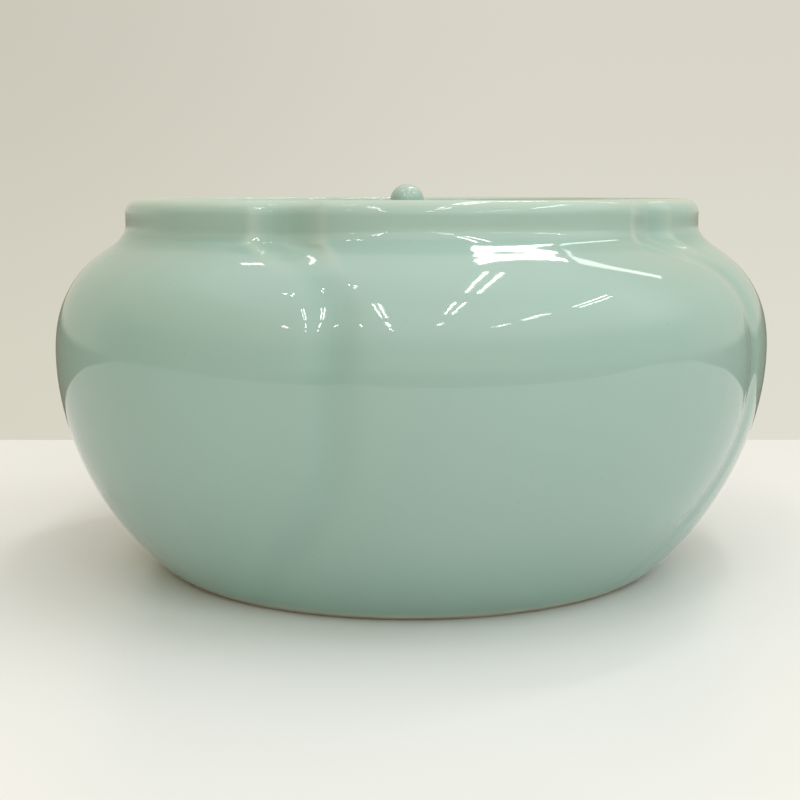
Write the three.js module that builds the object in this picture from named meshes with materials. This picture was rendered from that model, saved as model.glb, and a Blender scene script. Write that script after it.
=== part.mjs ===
import * as THREE from "three";
import { mergeVertices } from "three/addons/utils/BufferGeometryUtils.js";

// A lidded pot of glazed porcelain in five lobes, like a plum. Millimetres, +Z up, -Y is the front.
// The origin is the middle of the foot, on the table.

// The wall, measured on the outside over the crests of the lobes
const footRadius = 85;
const footHeight = 3;
const footFlareDegrees = 50;
const footPull = 3.3;
const bellyRadius = 121;
const bellyHeight = 73.5;
const bellyPullShare = 0.59;
const shoulderRise = 37;
const shoulderPullShare = 0.897;
const foldPullShare = 0.36;
const foldRise = 5.6;
const rimRadius = 96.7;
const collarHeight = 12.2;
const wallThickness = 6;
const floorThickness = 7;
const floorCornerRise = 6;

const neckHeight = bellyHeight + shoulderRise;
const rimHeight = neckHeight + collarHeight;

// The lobes: arcs set off from the axis, with a round-bottomed flute along each valley between them.
// The front lobe is a little wider than the other four, which share the rest of the round evenly.
const lobeCount = 5;
const frontLobeDegrees = 75.3;
const lobeOffsetShare = 0.135;
const collarLobeOffsetShare = 0.24;
const lobeStartHeight = 0;
const lobeFullHeight = 26;
const fluteToolRadius = 30;
const fluteDepth = 0.3;
const collarFluteDepth = 0.9;
const fluteFadeDrop = 9;
const edgeSoftness = 0.25;

// The valleys swing round the axis as they climb; angles are from the front, towards +X
const footTurnDegrees = -33.3;
const bellyTurnDegrees = -10.5;
const collarTurnDegrees = -22.6;
const lowerTurnHeight = 59.5;
const upperTurnDrop = 19.5;

// The foot, bare of glaze
const footWidth = 9;
const footEdgeChamfer = 0.8;

// The ledge in the mouth that carries the lid
const seatShelf = 6.7;
const seatHeight = 4.5;
const lutingGap = 0.4;
const seatOpeningRadius = rimRadius - wallThickness - seatShelf;

// The lid, sunk in the collar. It lies a little to the left in its play.
const lidGap = 1.5;
const lidLeft = 1;
const lidEdgeHeight = 4;
const lidCrown = 0.8;
const lidEdgeRound = 1.8;
const locatingGap = 1.4;
const locatingWidth = 4;
const locatingDepth = 4;
const knobFootRadius = 5;
const knobNeckRadius = 3.6;
const knobNeckHeight = 2;
const knobBallRadius = 5.8;
const knobNeckDegrees = 50;

// How finely the round forms are cut
const columnShares = [0, 0.07, 0.14, 0.2, 0.35, 0.55, 0.78, 1];
const lowerSteps = 11;
const upperSteps = 15;
const rowSpacing = 0.4;
const cornerSteps = 3;
const lipSteps = 6;
const ballSteps = 9;
const knobColumns = 28;

const glaze = { color: 0x9fbfae, roughness: 0.08, metalness: 0 };
const bareClay = { color: 0xb39c84, roughness: 0.75, metalness: 0 };

const point = (radius, height) => new THREE.Vector2(radius, height);
const radians = THREE.MathUtils.degToRad;
const smooth = THREE.MathUtils.smoothstep;
const mix = THREE.MathUtils.lerp;

// The outside of the wall, from the top of the foot, over the belly and the shoulder and through the hollow
// at the collar's foot, to where the collar stands upright
function outerWall() {
  const flare = radians(footFlareDegrees);
  const start = point(footRadius + footHeight / Math.tan(flare), footHeight);
  const belly = point(bellyRadius, bellyHeight);
  const lower = new THREE.CubicBezierCurve(
    start,
    point(start.x + footPull * Math.cos(flare), start.y + footPull * Math.sin(flare)),
    point(bellyRadius, mix(bellyHeight, footHeight, bellyPullShare)),
    belly,
  );
  const foldTop = point(rimRadius, neckHeight + foldRise);
  const upper = new THREE.CubicBezierCurve(
    belly,
    point(bellyRadius, bellyHeight + shoulderRise * shoulderPullShare),
    point(rimRadius, foldTop.y - shoulderRise * foldPullShare),
    foldTop,
  );
  return [...lower.getPoints(lowerSteps), ...upper.getPoints(upperSteps).slice(1)];
}

// A wall's inside: each point moved in, square to the outline, by the wall's thickness
function insetWall(outline, thickness) {
  return outline.map((here, i) => {
    const before = outline[Math.max(i - 1, 0)];
    const after = outline[Math.min(i + 1, outline.length - 1)];
    const along = after.clone().sub(before).normalize();
    return point(here.x - along.y * thickness, here.y + along.x * thickness);
  });
}

function radiusAt(outline, height) {
  const next = outline.findIndex((p) => p.y >= height);
  if (next < 1) return outline[next < 0 ? outline.length - 1 : 0].x;
  const [a, b] = [outline[next - 1], outline[next]];
  return mix(a.x, b.x, (height - a.y) / (b.y - a.y));
}

const rowsBetween = (outline, low, high) =>
  outline.filter((p) => p.y > low + rowSpacing && p.y < high - rowSpacing);

// The body and the collar meet at the neck, so the wall's outside has a row of its own there
const wall = outerWall();
const neck = point(radiusAt(wall, neckHeight), neckHeight);
const outside = [wall[0], ...rowsBetween(wall, footHeight, neckHeight), neck];
const collarFoot = rowsBetween(wall, neckHeight, neckHeight + collarHeight);

// The inside has a row of its own at the height of the ledge's underside, where the ledge meets it
const insideTop = point(neck.x - wallThickness, neckHeight);
const seatBottom = neckHeight - seatHeight;

function innerWall() {
  const inset = insetWall(outside, wallThickness);
  const below = rowsBetween(inset, footHeight, seatBottom);
  const beside = rowsBetween(inset, seatBottom, neckHeight);
  return [...below, point(radiusAt(inset, seatBottom), seatBottom), ...beside, insideTop];
}

const inside = innerWall();

// How far a valley has swung round at a height: upright at the belly, and more and more towards both ends
function turnAt(height) {
  const low = Math.max(1 - height / lowerTurnHeight, 0) ** 2;
  const rise = Math.min(height, neckHeight) - (neckHeight - upperTurnDrop);
  const high = Math.max(rise / upperTurnDrop, 0) ** 2;
  const fromFoot = (footTurnDegrees - bellyTurnDegrees) * low;
  const fromCollar = (collarTurnDegrees - bellyTurnDegrees) * high;
  return radians(bellyTurnDegrees + fromFoot + fromCollar);
}

// The plan of the lobes as a share of the crest's radius. away is the angle from the nearest valley,
// counted as if all lobes were equally wide.
function planShare(away, height) {
  const level = Math.min(height, neckHeight);
  const crest = radiusAt(outside, level);
  const rise = smooth(level, lobeStartHeight, lobeFullHeight);
  const collarShare = smooth(level, neckHeight - fluteFadeDrop, neckHeight);
  const offset = crest * mix(lobeOffsetShare, collarLobeOffsetShare, collarShare) * rise;
  const arc = crest - offset;
  const lobeRadius = (fromCrest) => {
    const side = offset * Math.sin(fromCrest);
    return offset * Math.cos(fromCrest) + Math.sqrt(arc * arc - side * side);
  };
  const halfLobe = Math.PI / lobeCount;
  const lobe = lobeRadius(halfLobe - away);
  const depth = mix(fluteDepth, collarFluteDepth, collarShare) * rise;
  const toolCentre = lobeRadius(halfLobe) - depth + fluteToolRadius;
  const reach = fluteToolRadius ** 2 - (toolCentre * Math.sin(away)) ** 2;
  const flute = reach > 0 ? toolCentre * Math.cos(away) - Math.sqrt(reach) : crest + fluteToolRadius;
  const softness = edgeSoftness * Math.max(rise, Number.EPSILON);
  const nearer = Math.min(lobe, flute);
  const gap = Math.abs(lobe - flute) / softness;
  return (nearer - softness * Math.log1p(Math.exp(-gap))) / crest;
}

// A closed profile swept round the axis and drawn in to the plan of the lobes at each point's level.
// That is the point's own height, but in the mouth it is the neck, so that the lid lifts straight out.
function lobedGeometry(profile, levels = profile.map((p) => p.y)) {
  const perLobe = 2 * (columnShares.length - 1);
  const columns = perLobe * lobeCount;
  const geometry = new THREE.LatheGeometry(profile, columns);
  const position = geometry.attributes.position;
  const frontWidth = radians(frontLobeDegrees);
  const otherWidth = (2 * Math.PI - frontWidth) / (lobeCount - 1);
  for (let column = 0; column <= columns; column += 1) {
    const step = column % perLobe;
    const share = columnShares[step > perLobe / 2 ? perLobe - step : step];
    const across = step > perLobe / 2 ? 1 - share / 2 : share / 2;
    const lobe = Math.floor((column % columns) / perLobe);
    const around = lobe === 0 ? frontWidth * across : frontWidth + (lobe - 1 + across) * otherWidth;
    const away = (share * Math.PI) / lobeCount;
    profile.forEach((p, row) => {
      const angle = around + turnAt(levels[row]);
      const radius = p.x * planShare(away, levels[row]);
      const index = column * profile.length + row;
      position.setXYZ(index, radius * Math.sin(angle), -radius * Math.cos(angle), p.y);
    });
  }
  return closed(geometry);
}

// One skin: shared corners are merged, and the faces that closed up on the axis are dropped
function closed(geometry) {
  geometry.deleteAttribute("normal");
  geometry.deleteAttribute("uv");
  const merged = mergeVertices(geometry);
  const corners = merged.index.array;
  const kept = [];
  for (let i = 0; i < corners.length; i += 3) {
    const [a, b, c] = [corners[i], corners[i + 1], corners[i + 2]];
    if (a !== b && b !== c && c !== a) kept.push(a, b, c);
  }
  merged.setIndex(kept);
  merged.computeVertexNormals();
  return merged;
}

function piece(name, geometry, finish) {
  const mesh = new THREE.Mesh(geometry, new THREE.MeshStandardMaterial(finish));
  mesh.name = name;
  return mesh;
}

function potBody() {
  const floorTop = footHeight + floorThickness;
  const wallInside = inside.filter((p) => p.y > floorTop + floorCornerRise);
  const [low, next] = wallInside;
  const slope = (next.x - low.x) / (next.y - low.y);
  const corner = point(low.x - slope * (low.y - floorTop), floorTop);
  const reach = low.distanceTo(corner);
  const round = new THREE.QuadraticBezierCurve(low, corner, point(corner.x - reach, floorTop));
  const profile = [
    point(0, footHeight),
    ...outside,
    ...wallInside.reverse(),
    ...round.getPoints(cornerSteps).slice(1),
    point(0, floorTop),
  ];
  return piece("pot_body", lobedGeometry(profile), glaze);
}

// The collar stands on the wall's top: the hollow at its foot, then upright to its rounded lip
const lipRadius = wallThickness / 2;
const lipCentre = point(rimRadius - lipRadius, rimHeight - lipRadius);

function collar() {
  const lip = [];
  for (let i = 0; i <= lipSteps; i += 1) {
    const angle = (Math.PI * i) / lipSteps;
    lip.push(point(lipCentre.x + lipRadius * Math.cos(angle), lipCentre.y + lipRadius * Math.sin(angle)));
  }
  return piece("collar", lobedGeometry([insideTop, neck, ...collarFoot, ...lip, insideTop]), glaze);
}

function footRing() {
  const flare = radians(footFlareDegrees);
  const innerRadius = footRadius - footWidth;
  const profile = [
    point(innerRadius, 0),
    point(footRadius - footEdgeChamfer, 0),
    point(footRadius, footEdgeChamfer * Math.tan(flare)),
    point(outside[0].x, footHeight),
    point(innerRadius, footHeight),
    point(innerRadius, 0),
  ];
  return piece("foot_ring", lobedGeometry(profile), bareClay);
}

function lidSeat() {
  const outer = inside.filter((p) => p.y >= seatBottom).map((p) => point(p.x - lutingGap, p.y));
  const opening = [point(seatOpeningRadius, seatBottom), point(seatOpeningRadius, neckHeight)];
  const profile = [opening[0], ...outer, opening[1], opening[0]];
  const levels = profile.map((p) => (opening.includes(p) ? neckHeight : p.y));
  return piece("lid_seat", lobedGeometry(profile, levels), bareClay);
}

// The lid stands on the ledge, so its heights are counted from the ledge's top
function lid() {
  const group = new THREE.Group();
  group.position.set(-lidLeft, 0, neckHeight);
  group.add(lidPlate(), locatingRing(), lidKnob());
  return group;
}

const lidTop = lidEdgeHeight + lidCrown;
const lidLevels = (profile) => profile.map(() => neckHeight);

function lidPlate() {
  const edgeRadius = rimRadius - wallThickness - lidGap;
  const round = new THREE.QuadraticBezierCurve(
    point(edgeRadius, lidEdgeHeight - lidEdgeRound),
    point(edgeRadius, lidEdgeHeight),
    point(edgeRadius - lidEdgeRound, lidEdgeHeight),
  );
  const profile = [
    point(0, 0),
    point(edgeRadius, 0),
    ...round.getPoints(cornerSteps),
    point(mix(edgeRadius, knobFootRadius, 0.5), mix(lidEdgeHeight, lidTop, 0.75)),
    point(knobFootRadius, lidTop),
    point(0, lidTop),
  ];
  return piece("lid_plate", lobedGeometry(profile, lidLevels(profile)), glaze);
}

function locatingRing() {
  const outer = seatOpeningRadius - locatingGap;
  const inner = outer - locatingWidth;
  const profile = [
    point(inner, -locatingDepth),
    point(outer, -locatingDepth),
    point(outer, 0),
    point(inner, 0),
    point(inner, -locatingDepth),
  ];
  return piece("lid_locating_ring", lobedGeometry(profile, lidLevels(profile)), bareClay);
}

function lidKnob() {
  const start = -radians(knobNeckDegrees);
  const centre = lidTop + knobNeckHeight - knobBallRadius * Math.sin(start);
  const ball = [];
  for (let i = 0; i <= ballSteps; i += 1) {
    const angle = mix(start, Math.PI / 2, i / ballSteps);
    const last = i === ballSteps;
    ball.push(point(last ? 0 : knobBallRadius * Math.cos(angle), centre + knobBallRadius * Math.sin(angle)));
  }
  const neck = new THREE.QuadraticBezierCurve(point(knobFootRadius, lidTop), point(knobNeckRadius, lidTop), ball[0]);
  const profile = [point(0, lidTop), ...neck.getPoints(cornerSteps), ...ball.slice(1)];
  const turned = new THREE.LatheGeometry(profile, knobColumns).rotateX(Math.PI / 2);
  return piece("lid_knob", closed(turned), glaze);
}

const pot = new THREE.Group();
pot.add(potBody(), collar(), footRing(), lidSeat(), lid());

export default pot;
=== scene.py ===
"""A lidded pot of celadon glazed porcelain in five lobes, with an upright collar and a sunk lid."""

import sys

import math
from functools import lru_cache

import bmesh
import bpy
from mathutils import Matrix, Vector


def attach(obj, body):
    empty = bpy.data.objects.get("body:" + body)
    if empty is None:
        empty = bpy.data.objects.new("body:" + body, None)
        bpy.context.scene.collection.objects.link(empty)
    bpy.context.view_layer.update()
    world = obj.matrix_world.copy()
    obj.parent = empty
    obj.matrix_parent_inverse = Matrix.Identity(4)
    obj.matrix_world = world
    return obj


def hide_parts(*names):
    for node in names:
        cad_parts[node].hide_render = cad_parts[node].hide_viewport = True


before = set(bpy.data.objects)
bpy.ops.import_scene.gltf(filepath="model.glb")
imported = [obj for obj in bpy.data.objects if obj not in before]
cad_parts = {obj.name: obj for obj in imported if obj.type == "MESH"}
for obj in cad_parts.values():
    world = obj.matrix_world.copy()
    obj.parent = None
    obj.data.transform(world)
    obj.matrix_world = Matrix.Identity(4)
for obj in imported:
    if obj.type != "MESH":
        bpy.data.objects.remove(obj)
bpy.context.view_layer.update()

MM = 0.001

# The wall, measured on the outside over the crests of the lobes, in millimetres
FOOT_RADIUS = 85.0
FOOT_HEIGHT = 3.0
FOOT_FLARE = math.radians(50.0)
FOOT_PULL = 3.3
BELLY_RADIUS = 121.0
BELLY_HEIGHT = 73.5
BELLY_PULL_SHARE = 0.59
SHOULDER_RISE = 37.0
SHOULDER_PULL_SHARE = 0.851
FOLD_PULL_SHARE = 0.244
FOLD_RISE = 3.64
RIM_RADIUS = 96.7
COLLAR_HEIGHT = 12.2
WALL = 6.0
FLOOR = 7.0
FLOOR_CORNER_RISE = 6.0
FLOOR_CORNER_PULL = 0.6
NECK_HEIGHT = BELLY_HEIGHT + SHOULDER_RISE
RIM_HEIGHT = NECK_HEIGHT + COLLAR_HEIGHT
LIP_OUTER = 4.6
LIP_INNER = WALL - LIP_OUTER

# The lobes and the flutes between them
LOBES = 5
FRONT_LOBE = math.radians(75.3)
OTHER_LOBE = (2 * math.pi - FRONT_LOBE) / (LOBES - 1)
HALF_LOBE = math.pi / LOBES
LOBE_OFFSET_SHARE = 0.135
COLLAR_OFFSET_SHARE = 0.24
LOBE_FULL_HEIGHT = 26.0
FLUTE_TOOL = 30.0
FLUTE_DEPTH = 0.3
COLLAR_FLUTE_DEPTH = 0.9
FLUTE_FADE = 9.0
EDGE_SOFTNESS = 0.25
EDGE_WIDTH = 1.1
VALLEY_SHARE = 0.085

# The valleys swing round the axis as they climb
FOOT_TURN = math.radians(-33.3)
BELLY_TURN = math.radians(-10.5)
COLLAR_TURN = math.radians(-22.6)
LOWER_TURN_HEIGHT = 59.5
UPPER_TURN_DROP = 19.5

# The front lobe is fuller at the shoulder and flatter at the collar than the others: where it is, in
# degrees round the axis, and by how much and between which heights it differs
FRONT_MIDDLE = 15.0
FRONT_NEAR = 10.0
FRONT_FAR = 45.0
FULLER = 1.0
FULLER_HEIGHTS = (76.0, 98.0, 106.0, 114.5)
FLATTER = 2.0
FLATTER_INSIDE = 0.7
FLATTER_EDGE = 0.5
FLATTER_HEIGHTS = (108.5, 115.5)

# How pale the glaze is where thin, how deep where it pools, how dark its painted shade, and between which
# heights
FLUTE_EDGE_PALE = 0.4
LIP_PALE = 0.5
LIP_PALE_HEIGHTS = (RIM_HEIGHT - 4.0, RIM_HEIGHT - 0.5)
COLLAR_PALE = 0.2
COLLAR_PALE_HEIGHTS = (111.0, 114.0)
FOOT_PALE = 0.9
FOOT_PALE_HEIGHTS = (1.8, 3.4)
VALLEY_DEEP_LOW = 0.3
VALLEY_DEEP_HIGH = 0.5
VALLEY_DEEP_HEIGHTS = (28.0, 62.0)
# The hollow under the collar is darker: painted shade, with glaze pooled there too
FOLD_SHADE_AND_POOL = 0.7
FOLD_SHADE_AND_POOL_HEIGHTS = (107.0, 109.0, 111.0, 113.0)
# The wall is darker towards the foot: painted shade
LOW_SHADE = 0.5
LOW_SHADE_HEIGHTS = (4.0, 34.0)
LID_EDGE_PALE = 0.5
LID_EDGE_PALE_SHARES = (0.93, 0.99)
LID_VALLEY_DEEP = 0.5
KNOB_PALE = 0.35

# The foot, and the glaze that ends just above the table
FOOT_WIDTH = 9.0
FOOT_ROUND_IN = 0.7
FOOT_ROUND_OUT = 1.0
GLAZE_APRON = 0.9
GLAZE_STOP = 0.9
GLAZE_ROLL = 0.4
GLAZE_ROLL_END = 320.0
FACE_GAP = 0.05

# The ledge in the mouth
SEAT_SHELF = 6.7
SEAT_OPENING = RIM_RADIUS - WALL - SEAT_SHELF
SEAT_HEIGHT = 4.5
SEAT_BOTTOM = NECK_HEIGHT - SEAT_HEIGHT
SEAT_ROUND = 1.1
LUTING_GAP = 0.4

# The lid, which lies a little to the left in its play
LID_GAP = 1.5
LID_LEFT = 1.0
LID_EDGE = 4.0
LID_CROWN = 0.8
LID_CROWN_PULLS = (0.7, 0.4)
LID_ROUND = 1.8
LID_ROUND_UNDER = 0.5
LOCATING_GAP = 1.4
LOCATING_WIDTH = 4.0
LOCATING_DEPTH = 4.0
LOCATING_ROUND = 1.0
KNOB_FOOT = 5.0
KNOB_NECK = 3.6
KNOB_NECK_HEIGHT = 2.0
KNOB_BALL = 5.8
KNOB_START = -50.0

# How finely the outlines are cut, in steps, and the turned forms, in columns
LOWER_WALL_STEPS = 34
UPPER_WALL_STEPS = 50
LIP_STEPS = 16
MOUTH_STEPS = 5
CURVE_STEPS = 8
SHORT_STEPS = 2
STRAIGHT_STEPS = 4
ROLL_STEPS = 6
FOOT_IN_STEPS = 5
FOOT_OUT_STEPS = 6
LEDGE_STEPS = 5
CROWN_STEPS = 16
LID_ROUND_STEPS = 4
BALL_STEPS = 26
WALL_COLUMNS = 480
LID_COLUMNS = 320
RING_COLUMNS = 240
KNOB_COLUMNS = 96

# How much the columns crowd near a valley, how close two points are when they are one, in metres, and how
# many digits of a height count for the plan
CROWDING = 1.35
MERGE = 0.000001
LEVEL_DIGITS = 4


def smooth(value, low, high):
    """A soft step from 0 at low to 1 at high."""
    t = min(max((value - low) / (high - low), 0.0), 1.0)
    return t * t * (3 - 2 * t)


def rise_and_fall(value, low, full, still, over):
    """1 from full to still, and softly down to 0 at low and over."""
    return smooth(value, low, full) * (1 - smooth(value, still, over))


def mix(a, b, t):
    return a + (b - a) * t


def bezier(corners, steps):
    """Points along a cubic curve, its first point left out."""
    a, b, c, d = (Vector(corner) for corner in corners)
    points = []
    for i in range(1, steps + 1):
        t = i / steps
        u = 1 - t
        points.append(a * u**3 + b * (3 * u * u * t) + c * (3 * u * t * t) + d * t**3)
    return points


def arc(centre, radius, start, end, steps):
    """Points on an arc, from start to end in degrees, both kept."""
    points = []
    for i in range(steps + 1):
        angle = math.radians(mix(start, end, i / steps))
        points.append(Vector((centre[0] + radius * math.cos(angle), centre[1] + radius * math.sin(angle))))
    return points


def line(start, end, steps):
    """Points on a straight line, its first point left out."""
    return [Vector(start).lerp(Vector(end), i / steps) for i in range(1, steps + 1)]


# The outside of the wall, from the top of the foot, over the belly and the shoulder and through the hollow
# at the collar's foot, to where the collar stands upright
foot_top = Vector((FOOT_RADIUS + FOOT_HEIGHT / math.tan(FOOT_FLARE), FOOT_HEIGHT))
belly = Vector((BELLY_RADIUS, BELLY_HEIGHT))
fold_top = Vector((RIM_RADIUS, NECK_HEIGHT + FOLD_RISE))
lower_wall = bezier(
    (
        foot_top,
        foot_top + Vector((math.cos(FOOT_FLARE), math.sin(FOOT_FLARE))) * FOOT_PULL,
        (BELLY_RADIUS, mix(BELLY_HEIGHT, FOOT_HEIGHT, BELLY_PULL_SHARE)),
        belly,
    ),
    LOWER_WALL_STEPS,
)
upper_wall = bezier(
    (
        belly,
        (BELLY_RADIUS, BELLY_HEIGHT + SHOULDER_RISE * SHOULDER_PULL_SHARE),
        (RIM_RADIUS, fold_top.y - SHOULDER_RISE * FOLD_PULL_SHARE),
        fold_top,
    ),
    UPPER_WALL_STEPS,
)
wall_line = [foot_top, *lower_wall, *upper_wall]


def crest_radius(height):
    """How far the outside of the wall is from the axis over a lobe's crest."""
    for a, b in zip(wall_line, wall_line[1:]):
        if height <= b.y:
            return mix(a.x, b.x, (height - a.y) / (b.y - a.y))
    return wall_line[-1].x


def swing(height):
    """How far a valley has swung round at a height: least at the belly, more and more towards both ends."""
    low = max(1 - height / LOWER_TURN_HEIGHT, 0) ** 2
    rise = min(height, NECK_HEIGHT) - (NECK_HEIGHT - UPPER_TURN_DROP)
    high = max(rise / UPPER_TURN_DROP, 0) ** 2
    return BELLY_TURN + (FOOT_TURN - BELLY_TURN) * low + (COLLAR_TURN - BELLY_TURN) * high


def lobe_radius(from_crest, offset, lobe_arc):
    """How far a lobe is from the axis at an angle from its crest: an arc about a centre off the axis."""
    return offset * math.cos(from_crest) + math.sqrt(lobe_arc**2 - (offset * math.sin(from_crest)) ** 2)


@lru_cache(maxsize=None)
def section(height):
    """What the plan needs at a height: crest, the lobes' offset, flute, softness and the collar's share."""
    level = min(height, NECK_HEIGHT)
    crest = crest_radius(level)
    rise = smooth(level, 0, LOBE_FULL_HEIGHT)
    on_collar = smooth(level, NECK_HEIGHT - FLUTE_FADE, NECK_HEIGHT)
    offset = crest * mix(LOBE_OFFSET_SHARE, COLLAR_OFFSET_SHARE, on_collar) * rise
    depth = mix(FLUTE_DEPTH, COLLAR_FLUTE_DEPTH, on_collar) * rise
    tool_centre = lobe_radius(HALF_LOBE, offset, crest - offset) - depth + FLUTE_TOOL
    softness = EDGE_SOFTNESS * max(rise, sys.float_info.epsilon)
    return crest, offset, tool_centre, softness, on_collar


def plan(away, height):
    """The plan as a share of the crest's radius, and how near this is to the edge of a collar's flute."""
    crest, offset, tool_centre, softness, on_collar = section(round(height, LEVEL_DIGITS))
    lobe = lobe_radius(HALF_LOBE - away, offset, crest - offset)
    reach = FLUTE_TOOL**2 - (tool_centre * math.sin(away)) ** 2
    flute = tool_centre * math.cos(away) - math.sqrt(reach) if reach > 0 else crest + FLUTE_TOOL
    drawn = min(lobe, flute) - softness * math.log1p(math.exp(-abs(lobe - flute) / softness))
    edge = math.exp(-(((lobe - flute) / EDGE_WIDTH) ** 2)) * on_collar
    return drawn / crest, edge


def front_shift(x, y, height, fuller):
    """How far the wall stands out, or in, at a place on the front lobe's shoulder and collar."""
    around = abs((math.degrees(math.atan2(x, -y)) - FRONT_MIDDLE + 180) % 360 - 180)
    out = fuller * rise_and_fall(height, *FULLER_HEIGHTS)
    outer = smooth(math.hypot(x, y), RIM_RADIUS - WALL, RIM_RADIUS - FLATTER_EDGE)
    back = mix(FLATTER_INSIDE, FLATTER, outer) * smooth(height, *FLATTER_HEIGHTS)
    return (1 - smooth(around, FRONT_NEAR, FRONT_FAR)) * (out - back)


def turned(outline, columns):
    """The outline, in millimetres, spun about the axis into one closed skin."""
    mesh = bmesh.new()
    points = [mesh.verts.new((p[0] * MM, 0, p[1] * MM)) for p in outline]
    edges = [mesh.edges.new(pair) for pair in zip(points, points[1:])]
    bmesh.ops.spin(
        mesh,
        geom=points + edges,
        cent=(0, 0, 0),
        axis=(0, 0, 1),
        angle=2 * math.pi,
        steps=columns,
        use_merge=True,
    )
    bmesh.ops.remove_doubles(mesh, verts=mesh.verts, dist=MERGE)
    bmesh.ops.recalc_face_normals(mesh, faces=mesh.faces)
    mesh.verts.layers.float.new("thin")
    mesh.verts.layers.float.new("pool_and_shade")
    return mesh


def own_height(radius, height):
    return height


def at_the_neck(radius, height):
    return NECK_HEIGHT


def press_lobes(mesh, level=own_height):
    """Each point of a turned skin moves in to the plan at its level. The points crowd near a valley."""
    thin = mesh.verts.layers.float["thin"]
    pool_and_shade = mesh.verts.layers.float["pool_and_shade"]
    for vert in mesh.verts:
        radius = math.hypot(vert.co.x, vert.co.y)
        if radius < MERGE:
            continue
        here = level(radius / MM, vert.co.z / MM)
        place = (math.atan2(vert.co.x, -vert.co.y) / (2 * HALF_LOBE)) % LOBES
        lobe, part = divmod(place, 1)
        share = (1 - abs(1 - 2 * part)) ** CROWDING
        across = share / 2 if part < 0.5 else 1 - share / 2
        around = FRONT_LOBE * across if lobe == 0 else FRONT_LOBE + (lobe - 1 + across) * OTHER_LOBE
        angle = around + swing(here)
        drawn, edge = plan(share * HALF_LOBE, here)
        vert.co.x = radius * drawn * math.sin(angle)
        vert.co.y = -radius * drawn * math.cos(angle)
        vert[thin] = edge
        vert[pool_and_shade] = math.exp(-((share / VALLEY_SHARE) ** 2))
    return mesh


def finished(name, mesh, body, material, slot, *nodes):
    """The mesh made a piece, with its material, its body and the nodes that it replaces. The slot is not
    used.
    """
    data = bpy.data.meshes.new(name)
    mesh.to_mesh(data)
    mesh.free()
    for face in data.polygons:
        face.use_smooth = True
    data.materials.append(material)
    piece = bpy.data.objects.new(name, data)
    bpy.context.scene.collection.objects.link(piece)
    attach(piece, body)
    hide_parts(*nodes)
    return piece


# Materials


class Nodes:
    """The nodes of a material or of the world's light, added and joined one after another."""

    def __init__(self, tree):
        self.tree = tree

    def add(self, kind, **settings):
        node = self.tree.nodes.new(kind)
        for key, value in settings.items():
            setattr(node, key, value)
        return node

    def join(self, source, target):
        self.tree.links.new(source, target)

    def feed(self, value, socket):
        """A fixed number or colour, or what another node gives."""
        if isinstance(value, bpy.types.NodeSocket):
            self.join(value, socket)
        elif isinstance(value, tuple):
            socket.default_value = (*value, 1)
        else:
            socket.default_value = value

    def noise(self, scale, detail):
        node = self.add("ShaderNodeTexNoise")
        node.inputs["Scale"].default_value = scale
        node.inputs["Detail"].default_value = detail
        place = self.tree.nodes.get("place") or self.add("ShaderNodeTexCoord", name="place")
        self.join(place.outputs["Object"], node.inputs["Vector"])
        return node.outputs["Fac"]

    def spread(self, value, low, high, to_high=1.0):
        """A soft step from 0 to to_high as the value goes from low to high."""
        node = self.add("ShaderNodeMapRange", interpolation_type="SMOOTHSTEP")
        for key, bound in (("From Min", low), ("From Max", high), ("To Max", to_high)):
            node.inputs[key].default_value = bound
        self.join(value, node.inputs["Value"])
        return node.outputs["Result"]

    def blend(self, share, a, b):
        node = self.add("ShaderNodeMix", data_type="RGBA")
        colours = [socket for socket in node.inputs if socket.type == "RGBA"]
        self.feed(a, colours[0])
        self.feed(b, colours[1])
        self.feed(share, node.inputs["Factor"])
        return next(socket for socket in node.outputs if socket.type == "RGBA")

    def attribute(self, name):
        return self.add("ShaderNodeAttribute", attribute_name=name).outputs["Fac"]

    def bump(self, height, strength, distance, under=None):
        node = self.add("ShaderNodeBump")
        node.inputs["Strength"].default_value = strength
        node.inputs["Distance"].default_value = distance
        self.join(height, node.inputs["Height"])
        if under is not None:
            self.join(under, node.inputs["Normal"])
        return node.outputs["Normal"]


def surface(name, roughness):
    """A new material, its nodes and its shader."""
    material = bpy.data.materials.new(name)
    material.use_nodes = True
    shader = material.node_tree.nodes["Principled BSDF"]
    shader.inputs["Roughness"].default_value = roughness
    return material, Nodes(material.node_tree), shader


def celadon_glaze():
    """A glassy blue-green glaze: paler where it runs thin over an edge, deeper where it pools, darker with
    painted shade.
    """
    material, made, shader = surface("celadon_glaze", roughness=0.045)
    clouds = made.spread(made.noise(scale=14.0, detail=4.0), low=0.3, high=0.7)
    even = made.blend(clouds, (0.329, 0.462, 0.407), (0.345, 0.478, 0.424))
    # The attribute carries pooled glaze and painted shade, both drawn in the deeper colour
    deeper = made.blend(made.attribute("pool_and_shade"), even, (0.275, 0.425, 0.362))
    paler = made.blend(made.attribute("thin"), deeper, (0.56, 0.63, 0.53))
    specks = made.spread(made.noise(scale=900.0, detail=1.0), low=0.77, high=0.8, to_high=0.3)
    made.join(made.blend(specks, paler, (0.2, 0.25, 0.17)), shader.inputs["Base Color"])
    shader.inputs["IOR"].default_value = 1.5
    swell = made.bump(made.noise(scale=38.0, detail=1.0), strength=0.04, distance=0.001)
    orange_peel = made.noise(scale=420.0, detail=2.0)
    normal = made.bump(orange_peel, strength=0.02, distance=0.0002, under=swell)
    made.join(normal, shader.inputs["Normal"])
    return material


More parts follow.
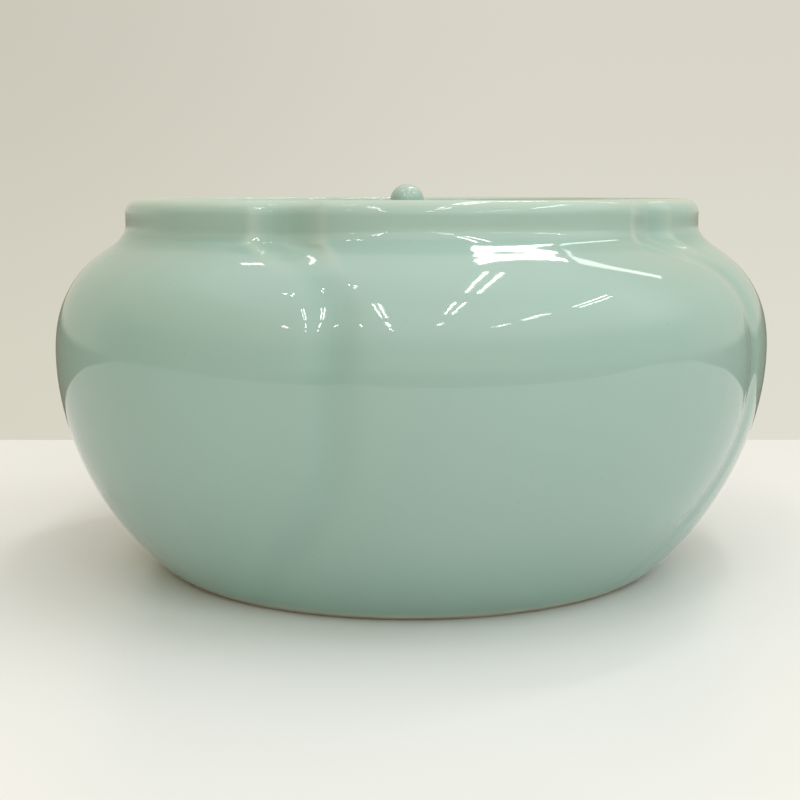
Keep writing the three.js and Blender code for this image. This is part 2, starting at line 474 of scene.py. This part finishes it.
def bare_clay():
    """Unglazed porcelain body: fine grained and matt, toasted where the kiln reached it."""
    material, made, shader = surface("bare_clay", roughness=0.72)
    toast = made.spread(made.noise(scale=30.0, detail=4.0), low=0.35, high=0.7)
    body = made.blend(toast, (0.45, 0.37, 0.29), (0.56, 0.48, 0.39))
    grog = made.spread(made.noise(scale=1600.0, detail=2.0), low=0.6, high=0.72, to_high=0.5)
    made.join(made.blend(grog, body, (0.28, 0.19, 0.12)), shader.inputs["Base Color"])
    grain = made.bump(made.noise(scale=900.0, detail=3.0), strength=0.35, distance=0.0003)
    made.join(grain, shader.inputs["Normal"])
    return material


glaze = celadon_glaze()
clay = bare_clay()


# The pot: one glazed skin for belly, shoulder and collar, open at the mouth


def inner_wall():
    """The inside of the wall up to the ledge: the outside's points moved in, and every other one kept."""
    points = []
    for before, here, after in zip(wall_line, wall_line[1:], wall_line[2:]):
        along = (after - before).normalized()
        points.append(Vector((here.x - along.y * WALL, here.y + along.x * WALL)))
    top = Vector((crest_radius(NECK_HEIGHT) - WALL, NECK_HEIGHT))
    lowest = FOOT_HEIGHT + FLOOR + FLOOR_CORNER_RISE
    return [p for p in points if lowest < p.y < NECK_HEIGHT - LID_ROUND and p.x > top.x][::2] + [top]


def wall_outline():
    """From under the foot, round the glaze's lower edge, up the outside, over the lip and down inside."""
    skin_in = FOOT_RADIUS - GLAZE_APRON
    roll_height = GLAZE_STOP + GLAZE_ROLL
    outline = [Vector((0, FOOT_HEIGHT)), Vector((skin_in / 2, FOOT_HEIGHT)), Vector((skin_in, FOOT_HEIGHT))]
    outline += line(outline[-1], (skin_in, roll_height), SHORT_STEPS)
    outline += arc((skin_in + GLAZE_ROLL, roll_height), GLAZE_ROLL, 180, GLAZE_ROLL_END, ROLL_STEPS)[1:]
    outline += line(outline[-1], foot_top, STRAIGHT_STEPS)
    outline += lower_wall + upper_wall
    lip_x = RIM_RADIUS - LIP_OUTER
    outline += line(outline[-1], (RIM_RADIUS, RIM_HEIGHT - LIP_OUTER), SHORT_STEPS)[:-1]
    outline += arc((lip_x, RIM_HEIGHT - LIP_OUTER), LIP_OUTER, 0, 90, LIP_STEPS)
    outline += arc((lip_x, RIM_HEIGHT - LIP_INNER), LIP_INNER, 90, 180, CURVE_STEPS)[1:]
    inside = inner_wall()
    outline += line(outline[-1], inside[-1], MOUTH_STEPS)[:-1]
    outline += inside[::-1]
    low, above = inside[:2]
    floor_top = FOOT_HEIGHT + FLOOR
    corner = low + (low - above) * ((low.y - floor_top) / (above.y - low.y))
    floor_edge = Vector((corner.x - (low - corner).length, floor_top))
    pulls = (low.lerp(corner, FLOOR_CORNER_PULL), floor_edge.lerp(corner, FLOOR_CORNER_PULL))
    outline += bezier((low, *pulls, floor_edge), CURVE_STEPS)
    outline += line(floor_edge, (0, floor_top), STRAIGHT_STEPS)
    return outline


def on_the_outside(vert):
    """Whether a point of the turned wall is on its outer skin."""
    return math.hypot(vert.co.x, vert.co.y) / MM > crest_radius(vert.co.z / MM) - WALL / 2


def glaze_depth_and_shade(height, flute_edge, valley):
    """How thin the glaze is at a height on the wall, and how much darker it is from pooling and painted
    shade.
    """
    on_lip = smooth(height, *LIP_PALE_HEIGHTS)
    on_collar = smooth(height, *COLLAR_PALE_HEIGHTS) * (1 - valley)
    on_foot = 1 - smooth(height, *FOOT_PALE_HEIGHTS)
    paler = max(on_lip * LIP_PALE, on_collar * COLLAR_PALE, on_foot * FOOT_PALE)
    in_valley = valley * mix(VALLEY_DEEP_LOW, VALLEY_DEEP_HIGH, smooth(height, *VALLEY_DEEP_HEIGHTS))
    # Painted shade, with some pooled glaze, in the hollow under the collar
    in_fold = rise_and_fall(height, *FOLD_SHADE_AND_POOL_HEIGHTS)
    # Painted shade, darker towards the foot
    low_down = 1 - smooth(height, *LOW_SHADE_HEIGHTS)
    deeper = max(in_valley, in_fold * FOLD_SHADE_AND_POOL) + low_down * LOW_SHADE
    return max(flute_edge * FLUTE_EDGE_PALE, paler), min(deeper, 1.0)


def glazed_wall():
    """The turned wall, its lobes pressed in and its front lobe shifted."""
    mesh = turned(wall_outline(), WALL_COLUMNS)
    outside = {vert for vert in mesh.verts if on_the_outside(vert)}
    press_lobes(mesh)
    thin = mesh.verts.layers.float["thin"]
    pool_and_shade = mesh.verts.layers.float["pool_and_shade"]
    for vert in mesh.verts:
        x, y, height = (value / MM for value in vert.co)
        vert[thin], vert[pool_and_shade] = glaze_depth_and_shade(height, vert[thin], vert[pool_and_shade])
        shift = front_shift(x, y, height, FULLER if vert in outside else 0.0)
        stretch = 1 + shift / max(math.hypot(x, y), MERGE / MM)
        vert.co.x *= stretch
        vert.co.y *= stretch
    return finished("pot_glazed_wall", mesh, "pot", glaze, "celadon_glaze", "pot_body", "collar")


def foot():
    """The bare ring that the pot stands on, hidden behind the glaze but for its lowest edge."""
    inner = FOOT_RADIUS - FOOT_WIDTH
    outer = FOOT_RADIUS - GLAZE_APRON - FACE_GAP
    top = FOOT_HEIGHT - FACE_GAP
    round_in = (inner + FOOT_ROUND_IN, FOOT_ROUND_IN)
    round_out = (outer - FOOT_ROUND_OUT, FOOT_ROUND_OUT)
    outline = [Vector((inner, top)), *arc(round_in, FOOT_ROUND_IN, 180, 270, FOOT_IN_STEPS)]
    outline += line(outline[-1], (outer - FOOT_ROUND_OUT, 0), STRAIGHT_STEPS)[:-1]
    outline += arc(round_out, FOOT_ROUND_OUT, 270, 360, FOOT_OUT_STEPS)
    outline += [Vector((outer, top)), outline[0]]
    mesh = press_lobes(turned(outline, RING_COLUMNS))
    return finished("pot_foot_ring", mesh, "pot", clay, "bare_clay", "foot_ring")


def ledge():
    """The bare ledge in the mouth that the lid rests on. Its back follows the wall."""
    wall = [Vector((p.x - LUTING_GAP, p.y)) for p in inner_wall() if p.y > SEAT_BOTTOM + LUTING_GAP]
    lowest = Vector((wall[0].x, SEAT_BOTTOM))
    round_x = SEAT_OPENING + SEAT_ROUND
    outline = [lowest, *arc((round_x, SEAT_BOTTOM + SEAT_ROUND), SEAT_ROUND, 270, 180, LEDGE_STEPS)]
    outline += arc((round_x, NECK_HEIGHT - SEAT_ROUND), SEAT_ROUND, 180, 90, LEDGE_STEPS)
    outline += [*wall[::-1], lowest]

    def level(radius, height):
        return mix(NECK_HEIGHT, height, smooth(radius, SEAT_OPENING, lowest.x))

    mesh = press_lobes(turned(outline, RING_COLUMNS), level)
    return finished("pot_lid_ledge", mesh, "pot", clay, "bare_clay", "lid_seat")


# The lid: a sunk plate with its locating ring and its knob, all resting on the ledge

LID_TOP = LID_EDGE + LID_CROWN


def on_ledge(mesh):
    """A piece of the lid, made on the axis with its underside at zero, moved to where it rests."""
    bmesh.ops.translate(mesh, verts=mesh.verts, vec=(-LID_LEFT * MM, 0, NECK_HEIGHT * MM))
    return mesh


def lid_plate():
    """The sunk plate: flat under, with a rounded edge and a slightly crowned top."""
    edge = RIM_RADIUS - WALL - LID_GAP
    round_under = (edge - LID_ROUND_UNDER, LID_ROUND_UNDER)
    outline = [Vector((0, 0)), Vector((edge / 2, 0))]
    outline += arc(round_under, LID_ROUND_UNDER, 270, 360, LID_ROUND_STEPS)
    outline += arc((edge - LID_ROUND, LID_EDGE - LID_ROUND), LID_ROUND, 0, 90, CURVE_STEPS)
    outer_pull, inner_pull = (edge * share for share in LID_CROWN_PULLS)
    pulls = ((outer_pull, (LID_EDGE + LID_TOP) / 2), (inner_pull, LID_TOP))
    outline += bezier((outline[-1], *pulls, (KNOB_FOOT, LID_TOP)), CROWN_STEPS)
    outline += [Vector((0, LID_TOP))]
    mesh = press_lobes(turned(outline, LID_COLUMNS), at_the_neck)
    thin = mesh.verts.layers.float["thin"]
    pool_and_shade = mesh.verts.layers.float["pool_and_shade"]
    low, high = (edge * share for share in LID_EDGE_PALE_SHARES)
    for vert in mesh.verts:
        out = math.hypot(vert.co.x, vert.co.y) / MM
        vert[thin] = smooth(out, low, high) * LID_EDGE_PALE
        vert[pool_and_shade] *= LID_VALLEY_DEEP * smooth(out, edge / 3, edge)
    return finished("lid_glazed_plate", on_ledge(mesh), "lid", glaze, "celadon_glaze", "lid_plate")


def lid_ring():
    """The short ring under the lid that keeps it in the ledge's opening."""
    outer = SEAT_OPENING - LOCATING_GAP
    inner = outer - LOCATING_WIDTH
    low = LOCATING_ROUND - LOCATING_DEPTH
    outline = [Vector((inner, 0))]
    outline += arc((inner + LOCATING_ROUND, low), LOCATING_ROUND, 180, 270, LID_ROUND_STEPS)
    outline += arc((outer - LOCATING_ROUND, low), LOCATING_ROUND, 270, 360, LID_ROUND_STEPS)
    outline += [Vector((outer, 0)), Vector((inner, 0))]
    mesh = press_lobes(turned(outline, RING_COLUMNS), at_the_neck)
    return finished("lid_locating_ring_bare", on_ledge(mesh), "lid", clay, "bare_clay", "lid_locating_ring")


def lid_knob():
    """A small ball on a short neck that flares into the plate."""
    centre = LID_TOP + KNOB_NECK_HEIGHT - KNOB_BALL * math.sin(math.radians(KNOB_START))
    ball = arc((0, centre), KNOB_BALL, KNOB_START, 90, BALL_STEPS)
    ball[-1].x = 0
    foot_edge = Vector((KNOB_FOOT, LID_TOP))
    pulls = ((KNOB_NECK, LID_TOP), (KNOB_NECK, (LID_TOP + ball[0].y) / 2))
    neck = bezier((foot_edge, *pulls, ball[0]), CURVE_STEPS)
    mesh = turned([Vector((0, LID_TOP)), foot_edge, *neck, *ball[1:]], KNOB_COLUMNS)
    thin = mesh.verts.layers.float["thin"]
    pool_and_shade = mesh.verts.layers.float["pool_and_shade"]
    for vert in mesh.verts:
        height = vert.co.z / MM
        vert[thin] = smooth(height, centre, centre + KNOB_BALL) * KNOB_PALE
        vert[pool_and_shade] = 1 - smooth(height, LID_TOP, centre)
    return finished("lid_knob_glazed", on_ledge(mesh), "lid", glaze, "celadon_glaze", "lid_knob")


glazed_wall()
foot()
ledge()
lid_plate()
lid_ring()
lid_knob()


# The table, the room's light and the camera, in metres

TABLE_BACK = 0.223
TABLE_FRONT = -0.7
TABLE_HALF_WIDTH = 2.4
LAMP_HEIGHT = 2.0
LAMP_WIDTH = 0.026
LAMP_GLOW = 88.0
LAMP_COLOUR = (1.0, 0.985, 0.95)

# What the pot sees in each direction, as plain colours: the ceiling overhead, what is high up, what is
# level with the pot, and what is below it past the table
ROOM = {
    "overhead": (1.0, 0.98, 0.99),
    "high_left": (0.6, 0.47, 0.2),
    "high_front": (1.4, 1.45, 1.42),
    "high_right": (1.38, 1.42, 1.4),
    "high_back": (0.71, 0.58, 0.44),
    "left": (0.12, 0.1, 0.05),
    "front": (0.72, 0.81, 0.68),
    "right": (0.5, 0.56, 0.44),
    "back": (0.69, 0.66, 0.54),
    "below": (0.19, 0.17, 0.12),
}

# The wall that the camera sees behind the table
WALL_LEFT = {"low": (0.68, 0.66, 0.553), "high": (0.597, 0.578, 0.493)}
WALL_RIGHT = {"low": (0.742, 0.73, 0.635), "high": (0.69, 0.67, 0.582)}

# Where one colour of the room or the wall passes into the next, in parts of a direction of length 1
LEFT_TO_FRONT = (-0.8, -0.1)
FRONT_TO_RIGHT = (0.1, 0.8)
SIDES_TO_BACK = (0.0, 0.5)
BELOW_TO_LEVEL = (-0.04, 0.02)
LEVEL_TO_HIGH = (0.2, 0.5)
HIGH_TO_OVERHEAD = (0.7, 0.9)
WALL_ACROSS = (-0.32, 0.1)
WALL_UP = (-0.17, 0.12)

# The camera, in front of the pot, just above its rim and tilted down. The pot's axis is right of the
# picture's middle
PICTURE_PIXELS = 800
FOCAL_PIXELS = 1428.7
SHIFT_PIXELS = -10.0
SENSOR_MM = 36.0
CAMERA_PLACE = (0, -0.4907, 0.12556)
CAMERA_TILT = math.radians(8.379)


def table_top():
    """A plain white top. Its far edge is the line behind the pot."""
    mesh = bmesh.new()
    bmesh.ops.create_grid(mesh, x_segments=4, y_segments=4, size=1)
    for vert in mesh.verts:
        vert.co.x *= TABLE_HALF_WIDTH
        vert.co.y = mix(TABLE_FRONT, TABLE_BACK, (vert.co.y + 1) / 2)
    data = bpy.data.meshes.new("table_top")
    mesh.to_mesh(data)
    mesh.free()
    material, made, shader = surface("white_table", roughness=0.35)
    shades = made.spread(made.noise(scale=6.0, detail=3.0), low=0.3, high=0.7)
    made.join(made.blend(shades, (0.74, 0.75, 0.745), (0.76, 0.77, 0.765)), shader.inputs["Base Color"])
    data.materials.append(material)
    table = bpy.data.objects.new("table_top", data)
    bpy.context.scene.collection.objects.link(table)


def room_light():
    """A pale wall for the camera. The pot sees a room: bright above, dimmer all round, dark on the left."""
    world = bpy.data.worlds.new("room")
    bpy.context.scene.world = world
    world.use_nodes = True
    made = Nodes(world.node_tree)
    background = world.node_tree.nodes["Background"]
    parts = made.add("ShaderNodeSeparateXYZ")
    made.join(made.add("ShaderNodeTexCoord").outputs["Generated"], parts.inputs["Vector"])
    x, y, z = (parts.outputs[axis] for axis in "XYZ")

    def around(level):
        colour = made.blend(made.spread(x, *LEFT_TO_FRONT), ROOM[level + "left"], ROOM[level + "front"])
        colour = made.blend(made.spread(x, *FRONT_TO_RIGHT), colour, ROOM[level + "right"])
        return made.blend(made.spread(y, *SIDES_TO_BACK), colour, ROOM[level + "back"])

    room = made.blend(made.spread(z, *BELOW_TO_LEVEL), ROOM["below"], around(""))
    room = made.blend(made.spread(z, *LEVEL_TO_HIGH), room, around("high_"))
    room = made.blend(made.spread(z, *HIGH_TO_OVERHEAD), room, ROOM["overhead"])
    across = made.spread(x, *WALL_ACROSS)
    low, high = (made.blend(across, WALL_LEFT[at], WALL_RIGHT[at]) for at in ("low", "high"))
    wall = made.blend(made.spread(z, *WALL_UP), low, high)
    seen = made.add("ShaderNodeLightPath").outputs["Is Camera Ray"]
    made.join(made.blend(seen, room, wall), background.inputs["Color"])


# Lamp tubes under the ceiling, in pairs: the middle's x and y, the length, the gap and the turn in degrees
LAMPS = {
    "left_near": (-0.698, -1.66, 0.98, 0.085, -7.5),
    "left_far": (-0.84, -2.75, 0.5, 0.03, -5.0),
    "middle_near": (0.393, -0.12, 0.9, 0.105, -4.0),
    "middle_next": (0.268, -1.48, 0.83, 0.1, -5.0),
    "middle_far": (0.13, -2.76, 0.32, 0.05, -12.0),
    "right_near": (1.72, -0.44, 0.93, 0.12, 0.0),
    "right_next": (1.52, -1.82, 0.7, 0.07, -10.0),
    "right_far": (1.285, -2.79, 0.5, 0.04, -21.0),
}

# Single strips: the middle's x and y, the width, the length, the glow and the turn in degrees. The two up
# behind on the right draw the white ribbon under the collar, and the rest draw small marks on the left
STRIPS = {
    "ribbon": (0.59, 0.765, 0.06, 0.78, 88.0, -47.0),
    "ribbon_ends": (1.43, 1.42, 0.16, 1.15, 14.0, -60.0),
    "hook": (-0.69, 1.25, 0.05, 0.16, 30.0, 90.0),
    "spot_a": (-0.77, -0.32, 0.045, 0.05, 88.0, 0.0),
    "spot_b": (-0.69, -0.42, 0.045, 0.05, 88.0, 0.0),
    "spot_c": (-0.63, -0.33, 0.045, 0.05, 88.0, 0.0),
    "left_last": (-0.92, -3.4, 0.04, 0.3, 88.0, 0.0),
    "left_beyond": (-1.72, -2.62, 0.06, 0.3, 88.0, 0.0),
}


def lamp(name, x, y, width, length, glow, turn):
    """A flat lamp that faces down, its long side towards the pot's back and front before its turn."""
    light = bpy.data.lights.new(name, "AREA")
    light.shape = "RECTANGLE"
    light.size = width
    light.size_y = length
    light.energy = glow * width * length
    light.color = LAMP_COLOUR
    holder = bpy.data.objects.new(name, light)
    holder.location = (x, y, LAMP_HEIGHT)
    holder.rotation_euler = (0, 0, math.radians(turn))
    bpy.context.scene.collection.objects.link(holder)
    return light


def lamps():
    """The pairs of tubes, and the single strips."""
    for name, (x, y, length, gap, turn) in LAMPS.items():
        for side in (-0.5, 0.5):
            lamp(f"{name}_{side:+.1f}", x + side * gap, y, LAMP_WIDTH, length, LAMP_GLOW, turn)
    for name, strip in STRIPS.items():
        lamp(name, *strip)


table_top()
room_light()
lamps()

camera = bpy.data.cameras.new("camera")
camera.sensor_width = SENSOR_MM
camera.lens = FOCAL_PIXELS / PICTURE_PIXELS * SENSOR_MM
camera.shift_x = SHIFT_PIXELS / PICTURE_PIXELS
eye = bpy.data.objects.new("camera", camera)
eye.location = CAMERA_PLACE
eye.rotation_euler = (math.pi / 2 - CAMERA_TILT, 0, 0)
bpy.context.scene.collection.objects.link(eye)
bpy.context.scene.camera = eye
bpy.context.scene.view_settings.view_transform = "Standard"
